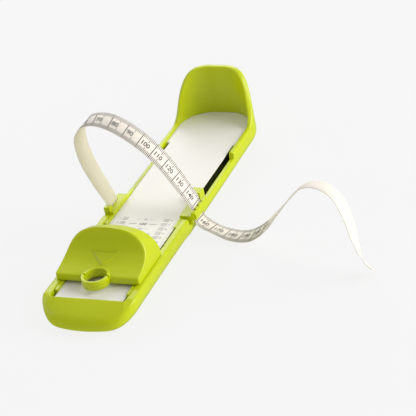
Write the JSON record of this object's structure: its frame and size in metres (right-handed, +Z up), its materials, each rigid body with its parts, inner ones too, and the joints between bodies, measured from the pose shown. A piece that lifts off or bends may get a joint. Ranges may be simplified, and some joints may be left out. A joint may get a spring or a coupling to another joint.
{
  "type": "foot measuring device",
  "caption": "Long low tray with a tall heel cup, a sliding toe stop with a reading ring, and a tape on a sliding carriage that loops over the foot.",
  "frame": {"origin": "middle of the underside, on the base cover's flat face that rests on the table", "axes": "+Z up, +Y towards the heel cup, +X to the right with the heel cup away from the reader"},
  "size_m": [0.1927, 0.2308, 0.0751],
  "materials": {
    "lime_plastic": "lime green ABS, satin gloss, moulded",
    "white_plastic": "warm white printed sheet",
    "zinc_steel": "zinc plated steel",
    "pin_steel": "drawn steel pin",
    "tape": "flexible glass-fibre tape, off-white, grey print"
  },
  "bodies": {
    "base": {"tray": "lime_plastic", "scale_plate": "white_plastic", "base_cover": "lime_plastic", "cover_screws": "zinc_steel"},
    "toe_stop": {"toe_slider": "lime_plastic", "reading_ring": "lime_plastic", "slider_keeper": "lime_plastic"},
    "tape_carriage": {"left_tape_clamp": "lime_plastic", "right_tape_guide": "lime_plastic", "carriage_bridge": "lime_plastic", "tape_pin": "pin_steel", "tape_loop": "tape", "tape_free_end": "tape"}
  },
  "joints": [
    {"name": "toe_slide", "type": "slide", "parent": "base", "child": "toe_stop", "axis": [0, 1, 0], "range_m": [-0.003, 0.028]},
    {"name": "tape_slide", "type": "slide", "parent": "base", "child": "tape_carriage", "axis": [0, 1, 0], "range_m": [0, 0.045]}
  ]
}
